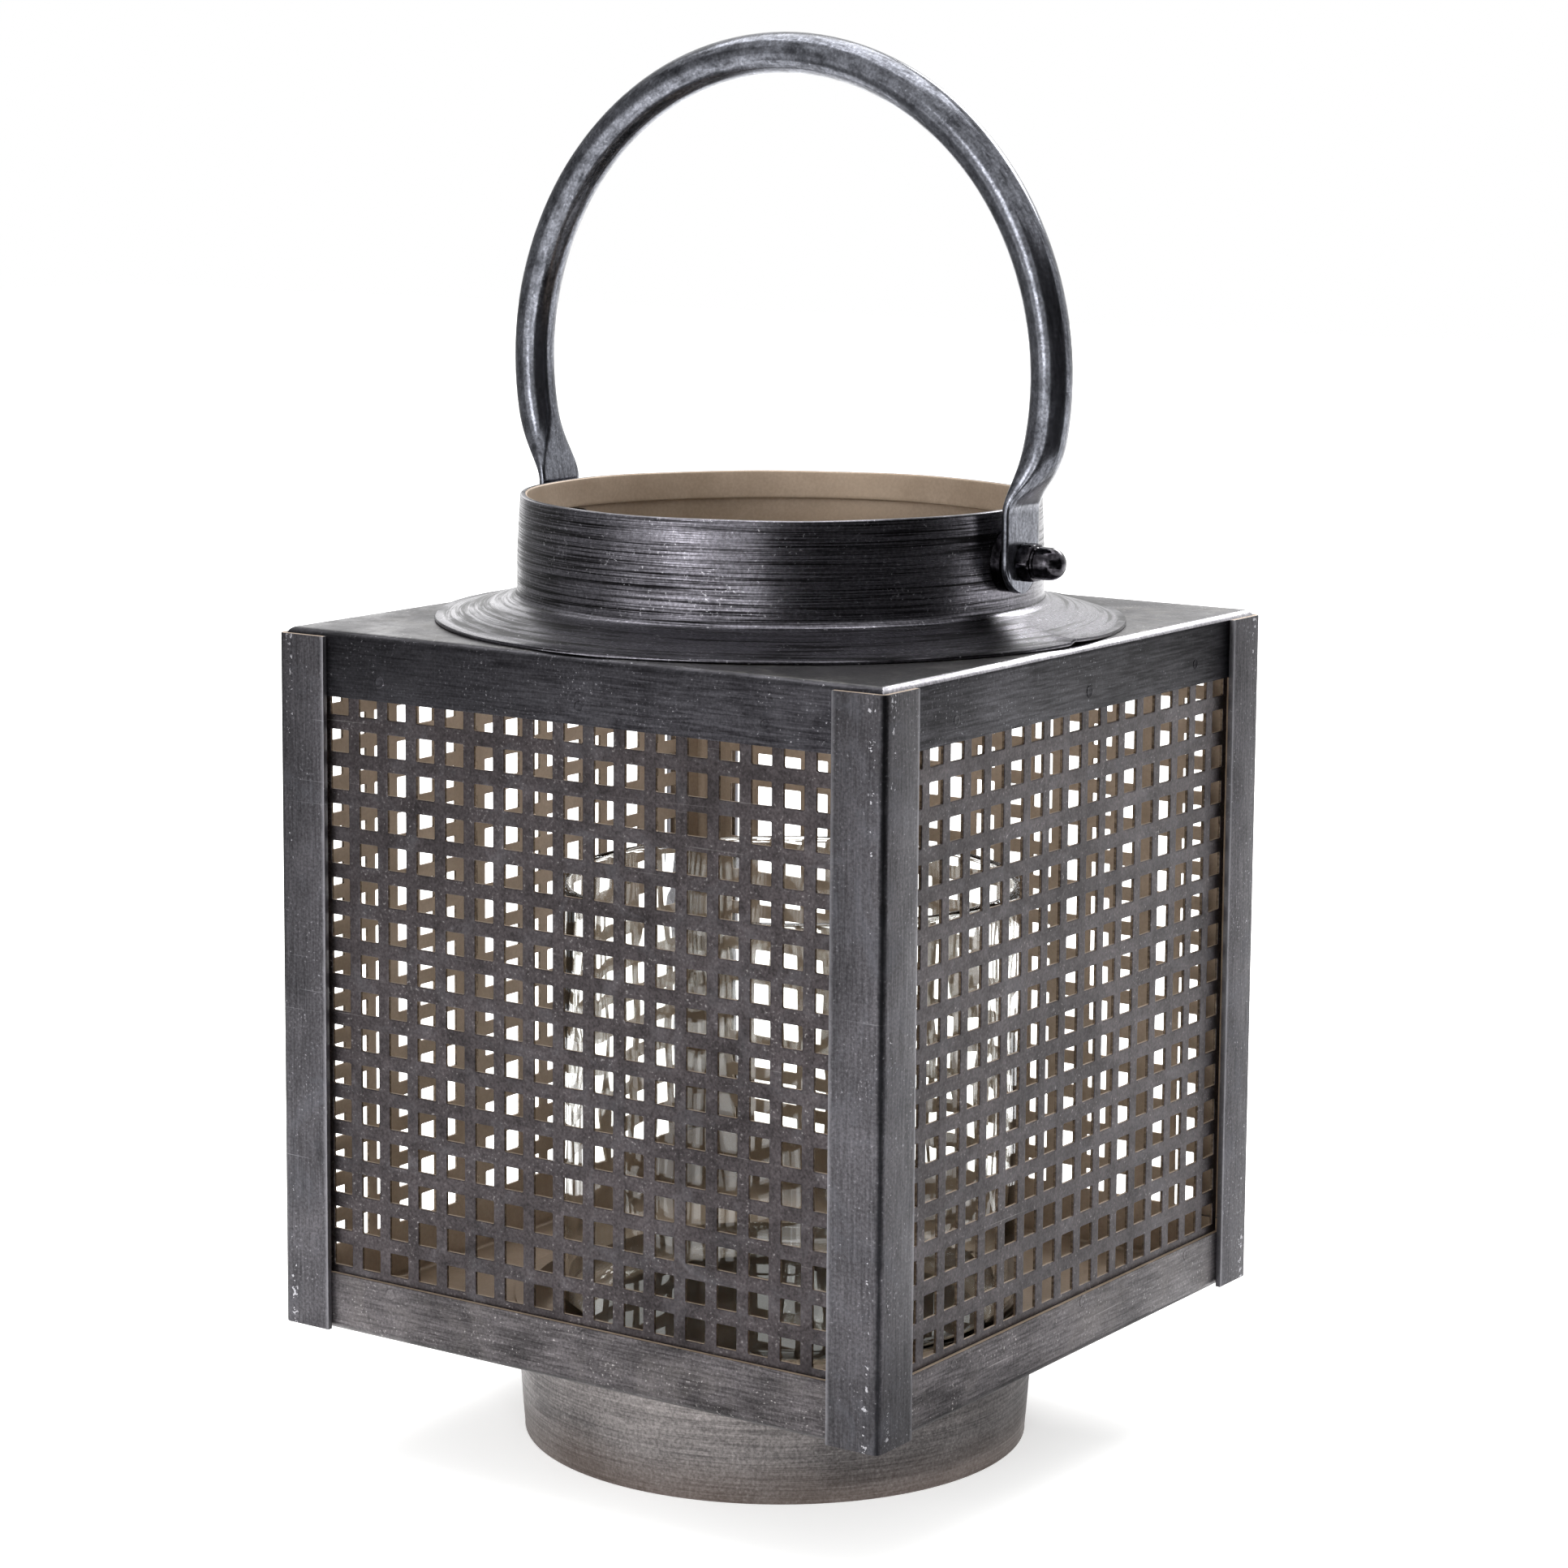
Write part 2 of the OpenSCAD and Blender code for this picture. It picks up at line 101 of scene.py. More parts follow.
def blackened_steel(name, dark, rubbed, silver, grain, coverage=0.5, streak=0.5, patch=0.45,
                    contrast=1.0, rough=(0.34, 0.52), flecks=0.5, scratches=0.3, film=0.3,
                    film_colour="#86868c", tint=None):
    """Mild steel, chemically blackened and rubbed back by hand: a dark coat that is thinner
    along the strokes, with silver flecks where the coat has gone and a dull film where it
    was handled. grain is how fast the strokes change along X, Y and Z, per metre; coverage
    is the share that is rubbed; streak and patch are the weights of the strokes and of the
    patches; rough is the roughness where it is rubbed and where it isn't."""
    material, tree, shader = new_material(name, metallic=0.97)
    place = add_node(tree, "TexCoord", {}).outputs["Object"]

    # Strokes of the abrasive in two widths, and patches of 10 to 40 mm where the hand
    # pressed harder
    layers = []
    for factor, share, offset in ((1.0, streak, 0.0), (0.5, 0.3 * streak, 3.7)):
        along = add_node(tree, "Mapping", {
            "Vector": place, "Scale": tuple(g * factor for g in grain),
            "Location": (offset, offset * 1.3, offset * 0.7)})
        strokes = add_node(tree, "TexNoise", {
            "Vector": along, "Scale": 1.0, "Detail": 5.0, "Roughness": 0.68, "Distortion": 0.12})
        layers.append((strokes.outputs["Fac"], share))
    patches = add_node(tree, "TexNoise", {
        "Vector": place, "Scale": 44.0, "Detail": 6.0, "Roughness": 0.62, "Distortion": 0.5})
    layers.append((patches.outputs["Fac"], patch))
    total = 0.5 * sum(share for _, share in layers)
    height = None
    for value, share in layers:
        height = add_node(tree, "Math", {0: value, 1: share, 2: height or 0.0},
                          operation="MULTIPLY_ADD").outputs[0]
    middle = total - (coverage - 0.5) * 0.3
    half_step = 0.13 / contrast
    rub = add_node(tree, "MapRange", {
        "Value": height, "From Min": middle - half_step, "From Max": middle + half_step},
        interpolation_type="SMOOTHSTEP")
    colour = add_node(tree, "Mix", {
        0: rub, 6: linear(dark), 7: linear(rubbed)}, data_type="RGBA").outputs[2]

    # Grain of the sheet, 0.5 mm, drawn a little coarser than the real one; where it stands
    # highest the coat is gone and silver shows
    grit = add_node(tree, "TexNoise", {
        "Vector": place, "Scale": 1500.0, "Detail": 3.0, "Roughness": 0.6})
    shade = add_node(tree, "MapRange", {
        "Value": grit.outputs["Fac"], "From Min": 0.35, "From Max": 0.65, "To Min": 0.70,
        "To Max": 1.34})
    colour = add_node(tree, "Mix", {0: 1.0, 6: colour, 7: shade}, data_type="RGBA",
                      blend_type="MULTIPLY").outputs[2]
    crowd = add_node(tree, "TexNoise", {
        "Vector": place, "Scale": 120.0, "Detail": 3.0, "Roughness": 0.6})
    crest = add_node(tree, "Math", {
        0: crowd.outputs["Fac"], 1: 0.28, 2: grit.outputs["Fac"]}, operation="MULTIPLY_ADD")
    fleck = add_node(tree, "MapRange", {
        "Value": crest, "From Min": 0.80, "From Max": 0.87, "To Max": flecks})
    colour = add_node(tree, "Mix", {0: fleck, 6: colour, 7: linear(silver)},
                      data_type="RGBA").outputs[2]

    # Stray scratches across the strokes, 0.2 mm wide and centimetres long
    for turn, reach in ((0.62, 1.0), (-0.95, 0.8)):
        askew = add_node(tree, "Mapping", {
            "Vector": place, "Rotation": (turn, turn * 1.1, 0.2), "Scale": (21, 21, 1300)})
        line = add_node(tree, "TexNoise", {
            "Vector": askew, "Scale": 1.0, "Detail": 2.0, "Distortion": 0.5})
        cut = add_node(tree, "MapRange", {
            "Value": line.outputs["Fac"], "From Min": 0.74, "From Max": 0.82,
            "To Max": scratches * reach})
        colour = add_node(tree, "Mix", {0: cut, 6: colour, 7: linear(silver)},
                          data_type="RGBA").outputs[2]

    # Dull film of handling, in ragged patches
    smear = add_node(tree, "TexNoise", {
        "Vector": place, "Scale": 62.0, "Detail": 9.0, "Roughness": 0.72, "Distortion": 1.1})
    cover = add_node(tree, "MapRange", {
        "Value": smear.outputs["Fac"], "From Min": 0.50, "From Max": 0.72, "To Max": film})
    colour = add_node(tree, "Mix", {0: cover, 6: colour, 7: linear(film_colour)},
                      data_type="RGBA").outputs[2]
    if tint:
        colour = tint(tree, place, colour)

    gloss = add_node(tree, "MapRange", {"Value": rub, "To Min": rough[1], "To Max": rough[0]})
    dulled = add_node(tree, "Math", {0: cover, 1: 0.25, 2: gloss}, operation="MULTIPLY_ADD")
    relief = add_node(tree, "Math", {0: grit.outputs["Fac"], 1: 0.35, 2: height},
                      operation="MULTIPLY_ADD")
    bump = add_node(tree, "Bump", {"Strength": 0.6, "Distance": 0.02 * MM, "Height": relief})
    feed(tree, shader, {"Base Color": colour, "Roughness": dulled, "Normal": bump})
    return material


def champagne_paint(name):
    """Sprayed satin paint in a warm grey gold: a fine orange-peel skin over the sheet, with
    slightly thinner and browner places."""
    material, tree, shader = new_material(name, metallic=0.35)
    place = add_node(tree, "TexCoord", {}).outputs["Object"]
    cloud = add_node(tree, "TexNoise", {
        "Vector": place, "Scale": 38.0, "Detail": 4.0, "Roughness": 0.55})
    peel = add_node(tree, "TexNoise", {"Vector": place, "Scale": 1400.0, "Detail": 2.0})
    amount = add_node(tree, "MapRange", {
        "Value": cloud.outputs["Fac"], "From Min": 0.35, "From Max": 0.65})
    base = add_node(tree, "Mix", {
        0: amount, 6: linear("#94826f"), 7: linear("#a99785")}, data_type="RGBA")
    speck = add_node(tree, "MapRange", {
        "Value": peel.outputs["Fac"], "From Min": 0.35, "From Max": 0.65, "To Min": 0.92,
        "To Max": 1.06})
    fine = add_node(tree, "Mix", {
        0: 1.0, 6: base.outputs[2], 7: speck}, data_type="RGBA", blend_type="MULTIPLY")
    gloss = add_node(tree, "MapRange", {
        "Value": peel.outputs["Fac"], "To Min": 0.42, "To Max": 0.56})
    bump = add_node(tree, "Bump", {
        "Strength": 0.35, "Distance": 0.02 * MM, "Height": peel.outputs["Fac"]})
    feed(tree, shader, {"Base Color": fine.outputs[2], "Roughness": gloss, "Normal": bump})
    return material


def as_object(name, mesh):
    """The finished mesh as an object at the origin."""
    made = bpy.data.objects.new(name, mesh)
    collection.objects.link(made)
    return made


def from_form(name, form):
    """The finished form as an object at the origin."""
    mesh = bpy.data.meshes.new(name)
    form.to_mesh(mesh)
    form.free()
    return as_object(name, mesh)


def skin(form, rings, closed=True):
    """The faces between rings of corners, each of which is closed or open."""
    count = len(rings[0])
    return [form.faces.new((low[k], low[(k + 1) % count], high[(k + 1) % count], high[k]))
            for low, high in zip(rings, rings[1:]) for k in range(count if closed else count - 1)]


def dress(made, *materials):
    """Adds materials to an object, in the order of its faces' numbers."""
    for material in materials:
        made.data.materials.append(material)


# The punch leaves a rolled edge outside and a small burr inside; one cell is a hole
# with half a bar round it, open along its outer border, where the next cell joins on.
# Each face says how it is finished; the lower wall of each hole takes the pale paint as
# a painted highlight.
BLACKENED, PAINT_AND_HIGHLIGHT, SHEARED = 0, 1, 2
cell_form = bmesh.new()
cell_finish = cell_form.faces.layers.int.new("finish")
hole_rings = []
for grow, depth in ((0.20, 0.0), (0.06, 0.05), (0.0, 0.18), (0.0, 0.92), (0.05, 1.0)):
    h = HOLE / 2 + grow * MM
    c = HOLE_CORNER + grow * MM / 2
    y = PANEL_OUT + depth * PANEL_THICK
    hole_rings.append([cell_form.verts.new((px, y, pz)) for px, pz in (
        (c - h, -h), (h - c, -h), (h, c - h), (h, h - c),
        (h - c, h), (c - h, h), (-h, h - c), (-h, c - h))])
cell_corners = [[cell_form.verts.new((sx * ACROSS / 2, y, sz * UP / 2))
                 for sx, sz in ((-1, -1), (1, -1), (1, 1), (-1, 1))]
                for y in (PANEL_OUT, PANEL_OUT + PANEL_THICK)]
for number, wall in enumerate(skin(cell_form, hole_rings)):
    depth = wall.calc_center_median().y - PANEL_OUT
    # The lower wall of each hole faces up and takes the pale paint: a painted highlight
    lit_lower_wall = number % 8 == 0
    if depth < 0.15 * MM:
        wall[cell_finish] = BLACKENED
    else:
        wall[cell_finish] = PAINT_AND_HIGHLIGHT if lit_lower_wall or depth > 0.9 * MM else SHEARED
for corners, ring, flip in ((cell_corners[0], hole_rings[0], 1),
                            (cell_corners[1], hole_rings[-1], -1)):
    for k in range(4):
        n = (k + 1) % 4
        for loop in ((corners[k], corners[n], ring[2 * k + 1], ring[2 * k]),
                     (corners[n], ring[(2 * k + 2) % 8], ring[2 * k + 1])):
            cell_form.faces.new(loop[::flip])[cell_finish] = BLACKENED if flip > 0 else PAINT_AND_HIGHLIGHT
punched_cell = from_form("punched_cell", cell_form)

# The plain margins of the sheet, split where the cells end so that all of it joins up
grid_low = FIRST_ROW - UP / 2
lines_x = [(i - COLUMNS / 2) * ACROSS for i in range(COLUMNS + 1)]
lines_x = [-PANEL_HALF] + lines_x + [PANEL_HALF]
lines_z = [PANEL_LOW] + [grid_low + j * UP for j in range(ROWS + 1)] + [PANEL_HIGH]
margin_form = bmesh.new()
margin_finish = margin_form.faces.layers.int.new("finish")
front, back = ([[margin_form.verts.new((x, y, z)) for z in lines_z] for x in lines_x]
               for y in (PANEL_OUT, PANEL_OUT + PANEL_THICK))
last_x, last_z = len(lines_x) - 1, len(lines_z) - 1
for i in range(last_x):
    for j in range(last_z):
        if i in (0, last_x - 1) or j in (0, last_z - 1):
            for side, flip in ((front, 1), (back, -1)):
                sheet = margin_form.faces.new((side[i][j], side[i + 1][j], side[i + 1][j + 1],
                                               side[i][j + 1])[::flip])
                sheet[margin_finish] = BLACKENED if flip > 0 else PAINT_AND_HIGHLIGHT
for i in range(last_x):
    for j, flip in ((0, 1), (last_z, -1)):
        margin_form.faces.new((front[i][j], back[i][j], back[i + 1][j], front[i + 1][j])[::flip])
for j in range(last_z):
    for i, flip in ((0, -1), (last_x, 1)):
        margin_form.faces.new((front[i][j], back[i][j], back[i][j + 1], front[i][j + 1])[::flip])
loose = [v for v in margin_form.verts if not v.link_faces]
bmesh.ops.delete(margin_form, geom=loose, context="VERTS")
sheet_margins = from_form("sheet_margins", margin_form)


def geometry_tree(name, sockets):
    """An empty geometry tree, the identifiers of its inputs and the outputs of their node."""
    tree = bpy.data.node_groups.new(name, "GeometryNodeTree")
    tree.interface.new_socket("Geometry", in_out="OUTPUT", socket_type="NodeSocketGeometry")
    inputs = {label: tree.interface.new_socket(
        label, in_out="INPUT", socket_type="NodeSocket" + kind).identifier
        for label, kind in sockets}
    return tree, inputs, add_node(tree, "NodeGroupInput", {}).outputs


# Geometry Nodes set the punched cells on a grid, join them to the margins, turn the sheet
# to its side of the box and paint the inside
panel_tree, panel_inputs, sheet_in = geometry_tree("perforated_sheet", (
    ("Margins", "Geometry"), ("Cell", "Object"), ("Columns", "Int"), ("Rows", "Int"),
    ("Pitch Across", "Float"), ("Pitch Up", "Float"), ("First Row", "Float"),
    ("Turn", "Vector"), ("Outside", "Material"), ("Inside", "Material"),
    ("Sheared", "Material")))


def spread(count, pitch):
    """Length from the first to the last of so many things at a pitch."""
    gaps = add_node(panel_tree, "Math", {0: sheet_in[count], 1: 1.0}, operation="SUBTRACT")
    return add_node(panel_tree, "Math", {0: gaps, 1: sheet_in[pitch]}, operation="MULTIPLY")


height = spread("Rows", "Pitch Up")
lattice = add_node(panel_tree, "GeometryNodeMeshGrid", {
    "Size X": spread("Columns", "Pitch Across"), "Size Y": height,
    "Vertices X": sheet_in["Columns"], "Vertices Y": sheet_in["Rows"]})
lift = add_node(panel_tree, "Math", {0: height, 1: 0.5, 2: sheet_in["First Row"]},
                operation="MULTIPLY_ADD")
raised = add_node(panel_tree, "CombineXYZ", {"Z": lift})
upright = add_node(panel_tree, "GeometryNodeTransform", {
    "Geometry": lattice, "Translation": raised, "Rotation": (math.pi / 2, 0, 0)})
cell_info = add_node(panel_tree, "GeometryNodeObjectInfo", {"Object": sheet_in["Cell"]})
punched = add_node(panel_tree, "GeometryNodeInstanceOnPoints", {
    "Points": upright, "Instance": cell_info.outputs["Geometry"]})
real_cells = add_node(panel_tree, "GeometryNodeRealizeInstances", {"Geometry": punched})
joined = add_node(panel_tree, "GeometryNodeJoinGeometry", {"Geometry": sheet_in["Margins"]})
feed(panel_tree, joined, {0: real_cells})
merged = add_node(panel_tree, "GeometryNodeMergeByDistance", {
    "Geometry": joined, "Distance": 0.004 * MM})
turned = add_node(panel_tree, "GeometryNodeTransform", {
    "Geometry": merged, "Rotation": sheet_in["Turn"]})
realized = add_node(panel_tree, "GeometryNodeRealizeInstances", {"Geometry": turned})
coated = add_node(panel_tree, "GeometryNodeSetMaterial", {
    "Geometry": realized, "Material": sheet_in["Outside"]})
finish = add_node(panel_tree, "GeometryNodeInputNamedAttribute", {"Name": "finish"},
                  data_type="INT")
for number, label in ((PAINT_AND_HIGHLIGHT, "Inside"), (SHEARED, "Sheared")):
    chosen = add_node(panel_tree, "FunctionNodeCompare", {2: finish, 3: number},
                      data_type="INT", operation="EQUAL")
    coated = add_node(panel_tree, "GeometryNodeSetMaterial", {
        "Geometry": coated, "Selection": chosen, "Material": sheet_in[label]})
add_node(panel_tree, "NodeGroupOutput", {"Geometry": coated})

# The rolled sheet has no strokes, only a dull and even grey brown; the side and top walls
# of the holes are matt with overspray of the paint, and the lower walls take the pale paint
# as a painted highlight
panel_steel = blackened_steel(
    "blackened_perforated_sheet", "#262324", "#4a4547", "#a3a09f", (330, 330, 330),
    coverage=0.48, streak=0.35, contrast=0.55, rough=(0.36, 0.50), flecks=0.4, film=0.16)
sheared_steel = blackened_steel(
    "overspray_on_hole_wall", "#4a3f35", "#7d6e5e", "#a39581", (300, 300, 900),
    contrast=0.8, rough=(0.50, 0.62), flecks=0.2, scratches=0.0, film=0.1)
inside_paint = champagne_paint("champagne_satin_paint")


def from_tree(name, base, tree, inputs, settings):
    """The plain mesh that a geometry tree makes from a base object."""
    modifier = base.modifiers.new(tree.name, "NODES")
    modifier.node_group = tree
    for label, value in settings.items():
        modifier[inputs[label]] = value
    graph = bpy.context.evaluated_depsgraph_get()
    mesh = bpy.data.meshes.new_from_object(base.evaluated_get(graph))
    base.modifiers.remove(modifier)
    mesh.name = name
    return as_object(name, mesh)


for side, turn in (("front", 0), ("right", 90), ("back", 180), ("left", 270)):
    panel = from_tree("perforated_" + side, sheet_margins, panel_tree, panel_inputs, {
        "Cell": punched_cell, "Columns": COLUMNS, "Rows": ROWS, "Pitch Across": ACROSS,
        "Pitch Up": UP, "First Row": FIRST_ROW, "Turn": (0.0, 0.0, math.radians(turn)),
        "Outside": panel_steel, "Inside": inside_paint, "Sheared": sheared_steel})
    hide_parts("panel_" + side)
    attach(panel, "lantern")
for mould in (punched_cell, sheet_margins):
    bpy.data.objects.remove(mould)

# ------------------------------------------------------------------- the two pans
# Top and bottom of the box: 1.2 mm sheet bent down, or up, into a skirt on all four
# sides, with a round opening in the plate. Outside they are blackened and rubbed along
# the skirts, and inside they have the same champagne paint as the panels.

Z_TOP = 187.9 * MM
Z_BOX = 29.4 * MM
PAN_IN = 77.6 * MM              # what lies nearer the axis than this is inside


def shade_smooth(form, degrees):
    """Smooth shading over each edge where two faces meet at less than that angle."""
    for e in form.edges:
        e.smooth = len(e.link_faces) == 2 and e.calc_face_angle(0) < math.radians(degrees)
    for f in form.faces:
        f.smooth = True


def eased_copy(name, node, width):
    """Copy of a CAD solid, merged, with its sharp edges broken as a file or wear does."""
    form = bmesh.new()
    form.from_mesh(nodes[node].data)
    bmesh.ops.remove_doubles(form, verts=form.verts, dist=0.002 * MM)
    bmesh.ops.dissolve_limit(form, angle_limit=math.radians(0.4), verts=form.verts,
                             edges=form.edges)
    sharp = [e for e in form.edges
             if len(e.link_faces) == 2 and e.calc_face_angle(0) > math.radians(35)]
    bmesh.ops.bevel(form, geom=sharp, offset=width, segments=2, profile=0.6,
                    affect="EDGES", clamp_overlap=True)
    shade_smooth(form, 32)
    return from_form(name, form)


def painted_shade_towards(direction, start, end, share, grazing=False):
    """Painted shade: darkens the colour along a direction, from start to end in
    millimetres, where the light is weaker; grazing says that it also dims the grazing
    highlight there."""
    def tint(tree, place, colour):
        along = add_node(tree, "VectorMath", {0: place, 1: direction}, operation="DOT_PRODUCT")
        painted_shade_share = add_node(tree, "MapRange", {
            "Value": along.outputs["Value"], "From Min": start * MM, "From Max": end * MM,
            "To Min": 1.0, "To Max": share})
        if grazing:
            feed(tree, tree.nodes["Principled BSDF"], {"Specular Tint": painted_shade_share})
        return add_node(tree, "Mix", {0: 1.0, 6: colour, 7: painted_shade_share}, data_type="RGBA",
                        blend_type="MULTIPLY").outputs[2]
    return tint


# The skirts have strokes along them, nearly black above and pewter below; the plate is
# cloudy with dust. Painted shade darkens the top skirts towards the back and the plate
# towards the front right corner, and the left and right bends of the top pan are lighter
# steel, partly wear and partly a painted highlight
top_pan_steel = blackened_steel(
    "blackened_top_pan_steel_painted_shade", "#161518", "#3b3a3e", "#a9a8ad", (90, 90, 1700),
    coverage=0.48, streak=0.6, patch=0.35, contrast=0.8, rough=(0.30, 0.46),
    scratches=0.35, film=0.2, film_colour="#5c5b60",
    # painted shade: darker towards the back, with the grazing highlight dimmed there
    tint=painted_shade_towards((0, 1, 0), -40, 65, 0.50, grazing=True))
bottom_pan_steel = blackened_steel(
    "rubbed_bottom_pan_steel", "#2a2829", "#625e60", "#c4c0be", (90, 90, 1700),
    patch=0.4, contrast=0.75, rough=(0.36, 0.50), flecks=0.6, film_colour="#7d7876")
plate_steel = blackened_steel(
    "dusty_top_plate_steel_painted_shade", "#3c3b3d", "#636163", "#c9c7c3", (300, 300, 300),
    streak=0.3, patch=0.8, contrast=0.8, rough=(0.30, 0.42), flecks=0.8,
    scratches=0.15, film=0.45, film_colour="#8d8a84",
    # painted shade: darker towards the front right corner
    tint=painted_shade_towards((1, -1, 0), 60, 145, 0.55))
bend_wear_and_highlight_steel = blackened_steel(
    "worn_and_highlit_bend_steel", "#77757a", "#a9a7ac", "#dcdadd", (300, 300, 300),
    coverage=0.52, streak=0.3, patch=0.8, contrast=0.8, rough=(0.26, 0.38), flecks=0.6,
    scratches=0.1, film=0.1)

for which, plate_z, skirt_steel in (("top", Z_TOP, top_pan_steel),
                                    ("bottom", Z_BOX, bottom_pan_steel)):
    pan = eased_copy("pan_" + which, which + "_pan", 0.18 * MM)
    dress(pan, skirt_steel, inside_paint, plate_steel, bend_wear_and_highlight_steel)
    for f in pan.data.polygons:
        c = f.center
        if max(abs(c.x), abs(c.y)) < PAN_IN and abs(c.z - plate_z) > 0.6 * MM:
            f.material_index = 1
        elif f.normal.z > 0.9 and which == "top":
            f.material_index = 2
        # The left and right bends take lighter steel: partly wear, partly a painted highlight
        elif which == "top" and f.normal.z > 0.3 and abs(f.normal.x) > 0.2:
            f.material_index = 3
    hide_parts(which + "_pan")
    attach(pan, "lantern")

# ------------------------------------------------------------------- corner posts
# Four angles of 1.3 mm sheet, bent to a tight corner and spot welded over the ends of
# the skirts. They are rubbed up and down; the light lines along their free edges are partly
# wear and partly a painted highlight, and the dark line in the bend is painted shade. Inside
# they have the paint.

POST_HALF = 80 * MM
POST_LEG = 13 * MM
POST_IN = 78.8 * MM             # what lies nearer the axis than this is inside
POST_MIDDLE = 108 * MM          # height halfway up a post


def post_edges(tree, place, colour):
    """Painted shade as a dark line in the bend of a post, chips beside it, and light lines
    along its free edges that are partly wear and partly a painted highlight.
    """
    split = add_node(tree, "SeparateXYZ", {"Vector": place})
    ax, ay = (add_node(tree, "Math", {0: split.outputs[axis]}, operation="ABSOLUTE")
              for axis in (0, 1))
    near = add_node(tree, "Math", {0: ax, 1: ay}, operation="MINIMUM")
    ragged = add_node(tree, "TexNoise", {
        "Vector": place, "Scale": 150.0, "Detail": 4.0, "Roughness": 0.7})
    shifted = add_node(tree, "Math", {0: ragged.outputs["Fac"], 1: 1.1 * MM, 2: near},
                       operation="MULTIPLY_ADD")
    # Painted shade: a dark line in the bend stands in for the dark reflection there
    bend = add_node(tree, "MapRange", {
        "Value": shifted, "From Min": POST_HALF - 0.9 * MM, "From Max": POST_HALF - 0.1 * MM,
        "To Max": 0.88})
    bend_painted_dark = add_node(tree, "Mix", {0: bend, 6: colour, 7: linear("#151518")},
                        data_type="RGBA")
    # Light lines along the free edges, partly wear and partly a painted highlight
    free = add_node(tree, "MapRange", {
        "Value": shifted, "From Min": POST_HALF - POST_LEG + 0.7 * MM,
        "From Max": POST_HALF - POST_LEG + 1.5 * MM, "To Min": 0.4, "To Max": 0.0})
    wear_and_highlight = add_node(tree, "Mix", {0: free, 6: bend_painted_dark.outputs[2], 7: linear("#9a999e")},
                    data_type="RGBA")
    # The chips are thickest near the ends of the post
    chip = add_node(tree, "TexNoise", {
        "Vector": place, "Scale": 760.0, "Detail": 3.0, "Roughness": 0.65})
    rise = add_node(tree, "Math", {0: split.outputs[2], 1: POST_MIDDLE}, operation="SUBTRACT")
    from_middle = add_node(tree, "Math", {0: rise}, operation="ABSOLUTE")
    crowd = add_node(tree, "MapRange", {
        "Value": from_middle, "From Min": 30 * MM, "From Max": 78 * MM,
        "To Min": 0.70, "To Max": 0.60})
    beside = add_node(tree, "Math", {
        0: near, 1: POST_HALF - 3.2 * MM, 2: 0.9 * MM}, operation="COMPARE")
    bare = add_node(tree, "Math", {0: chip.outputs["Fac"], 1: crowd}, operation="GREATER_THAN")
    chipped = add_node(tree, "Math", {0: bare, 1: beside}, operation="MULTIPLY")
    return add_node(tree, "Mix", {0: chipped, 6: wear_and_highlight.outputs[2], 7: linear("#a5a4a9")},
                    data_type="RGBA").outputs[2]


post_steel = blackened_steel(
    "blackened_post_steel_painted_light_edges", "#272628", "#58565a", "#bdbcc2", (1700, 1700, 90),
    coverage=0.52, streak=0.45, patch=0.35, contrast=0.6, rough=(0.38, 0.52),
    scratches=0.35, film=0.35, film_colour="#66676e", tint=post_edges)
for corner in ("front_left", "front_right", "back_left", "back_right"):
    post = eased_copy("angle_" + corner, "post_" + corner, 0.2 * MM)
    dress(post, post_steel, inside_paint)
    for f in post.data.polygons:
        if max(abs(f.center.x), abs(f.center.y)) < POST_IN:
            f.material_index = 1
    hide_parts("post_" + corner)
    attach(post, "lantern")

# --------------------------------------------------------------------- spot welds
# Each skirt is welded to its panel in three places and each post to its panel once on
# each side. The electrode leaves a shallow round print 2.6 mm across with a raised rim.

WELD_R = 1.35 * MM
WELD_SIDES = 12
weld_form = bmesh.new()
weld_rings = []
for r, z in ((1.0, -0.12), (1.0, 0.01), (0.86, 0.06), (0.68, 0.04), (0.48, 0.01), (0.2, 0.005)):
    weld_rings.append([weld_form.verts.new((
        WELD_R * r * math.cos(a), WELD_R * r * math.sin(a), z * MM))
        for a in (math.tau * k / WELD_SIDES for k in range(WELD_SIDES))])
skin(weld_form, weld_rings)
weld_form.faces.new(weld_rings[-1])
weld_form.faces.new(weld_rings[0][::-1])
for f in weld_form.faces:
    f.smooth = True
electrode_print = from_form("electrode_print", weld_form)

# Where the welds are: one point each, with the way it faces; three to a skirt above and
# below, and one on each leg of a post, each side a little off from the next
weld_bases = {}
for welded, spots in (
        ("top_skirt", ((-52, 177.6, 78.7), (2.5, 177.2, 78.7), (50, 177.8, 78.7))),
        ("bottom_skirt", ((-50, 40.3, 78.7), (4, 40.8, 78.7), (51, 40.2, 78.7))),
        ("post", ((-70.2, 109.2, 79.93), (70.0, 111.0, 79.93)))):
    weld_places = []
    for turn in range(4):
        spin = Matrix.Rotation(math.radians(90 * turn), 3, "Z")
        slip = (0.0, 1.1, -0.8, 0.6)[turn]
        for along, z, out in spots:
            spot = Vector(((along + slip) * MM, -out * MM, (z + slip / 3) * MM))
            weld_places.append((spin @ spot, spin @ Vector((0, -1, 0))))
    place_mesh = bpy.data.meshes.new(welded + "_weld_places")
    place_mesh.from_pydata([p for p, _ in weld_places], [], [])
    facing = place_mesh.attributes.new("facing", "FLOAT_VECTOR", "POINT")
    facing.data.foreach_set("vector", [v for _, n in weld_places for v in n])
    weld_bases[welded] = as_object(welded + "_weld_places", place_mesh)

